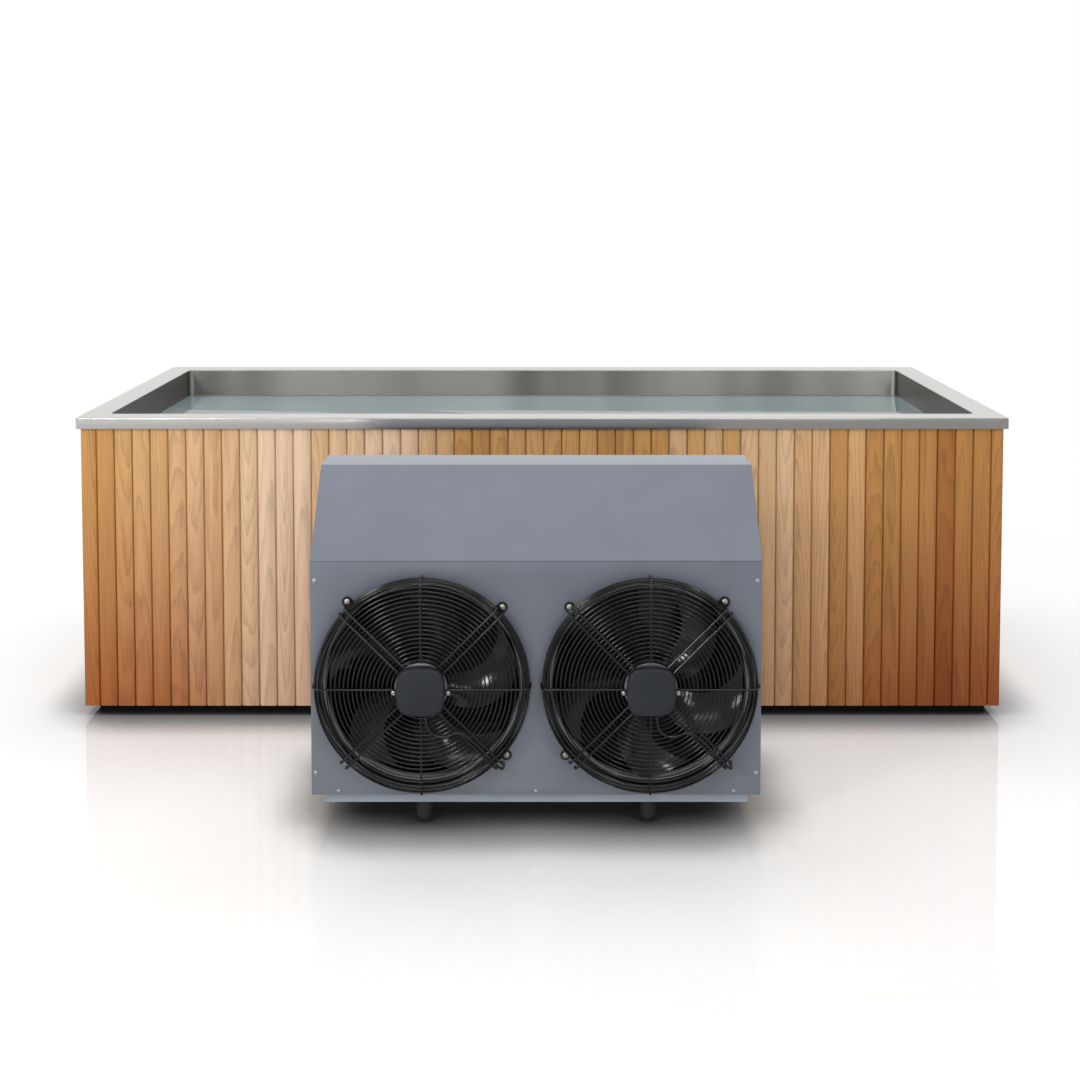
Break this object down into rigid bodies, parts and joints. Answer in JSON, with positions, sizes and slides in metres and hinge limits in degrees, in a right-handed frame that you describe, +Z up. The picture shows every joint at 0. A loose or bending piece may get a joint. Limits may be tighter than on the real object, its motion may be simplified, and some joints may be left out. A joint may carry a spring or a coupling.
{
  "type": "cold plunge tub",
  "caption": "Long stainless plunge basin clad in vertical timber boards on a dark recessed plinth, with a free-standing twin-fan water chiller in front of it.",
  "frame": {"origin": "on the floor, under the middle of the box round the tub and its chiller", "axes": "+X along the tub's length to the right as seen from the chiller's fans, +Y from the chiller to the tub, +Z up"},
  "size_m": [2.34, 1.7534, 0.763],
  "materials": {
    "stainless": "fine brushed, satin",
    "timber": "oiled softwood boards",
    "black_paint": "matte black",
    "galvanised": "zinc coated",
    "plywood": "bare film-faced panel",
    "dark_plastic": "moulded, fine texture",
    "brass": "turned",
    "powder_coat": "dark grey powder coat, fine orange peel",
    "fan_black": "glossy moulded",
    "wire_black": "dipped black wire",
    "cap_grey": "matte moulded",
    "cast_aluminium": "die cast",
    "rubber": "matte",
    "fin_stock": "bare fins",
    "lever_red": "dipped grip"
  },
  "bodies": {
    "set": {"basin_front": "stainless", "basin_right": "stainless", "basin_rear": "stainless", "basin_left": "stainless", "basin_floor": "stainless", "tub_frame": "galvanised", "floor_deck": "plywood", "front_cladding": "timber", "right_cladding": "timber", "rear_cladding": "timber", "left_cladding": "timber", "front_plinth": "black_paint", "right_plinth": "black_paint", "rear_plinth": "black_paint", "left_plinth": "black_paint", "suction_fitting": "dark_plastic", "suction_union": "dark_plastic", "suction_grille": "dark_plastic", "return_fitting": "dark_plastic", "return_union": "dark_plastic", "return_nozzle": "dark_plastic", "drain_fitting": "dark_plastic", "drain_valve_body": "brass", "chiller_hood": "powder_coat", "front_panel": "powder_coat", "rear_panel": "powder_coat", "floor_pan": "galvanised", "left_side_panel": "powder_coat", "right_side_panel": "powder_coat", "front_skid": "powder_coat", "rear_skid": "powder_coat", "front_left_foot": "rubber", "front_right_foot": "rubber", "rear_left_foot": "rubber", "rear_right_foot": "rubber", "left_fan_shroud": "fan_black", "left_fan_guard": "wire_black", "left_motor_arms": "wire_black", "left_fan_motor": "cast_aluminium", "left_terminal_cover": "cap_grey", "left_motor_lead": "rubber", "right_fan_shroud": "fan_black", "right_fan_guard": "wire_black", "right_motor_arms": "wire_black", "right_fan_motor": "cast_aluminium", "right_terminal_cover": "cap_grey", "right_motor_lead": "rubber", "condenser_coil": "fin_stock", "coil_guard": "wire_black", "compressor": "black_paint", "heat_exchanger": "dark_plastic", "circulation_pump": "dark_plastic", "water_outlet": "dark_plastic", "water_inlet": "dark_plastic", "control_box": "dark_plastic", "cable_gland": "dark_plastic"},
    "left_fan": {"left_fan_impeller": "fan_black"},
    "right_fan": {"right_fan_impeller": "fan_black"},
    "drain_lever": {"drain_valve_lever": "lever_red", "drain_valve_ball": "stainless"}
  },
  "joints": [
    {"name": "left_fan_spin", "type": "hinge", "parent": "set", "child": "left_fan", "pos_m": [-0.2485, -0.8136, 0.3145], "axis": [0, -1, 0], "continuous": true},
    {"name": "right_fan_spin", "type": "hinge", "parent": "set", "child": "right_fan", "pos_m": [0.2245, -0.8136, 0.3145], "axis": [0, -1, 0], "continuous": true},
    {"name": "drain_lever_turn", "type": "hinge", "parent": "set", "child": "drain_lever", "pos_m": [-0.82, 0.8277, 0.1829], "axis": [0, 0, -1], "range_deg": [0, 90]}
  ]
}
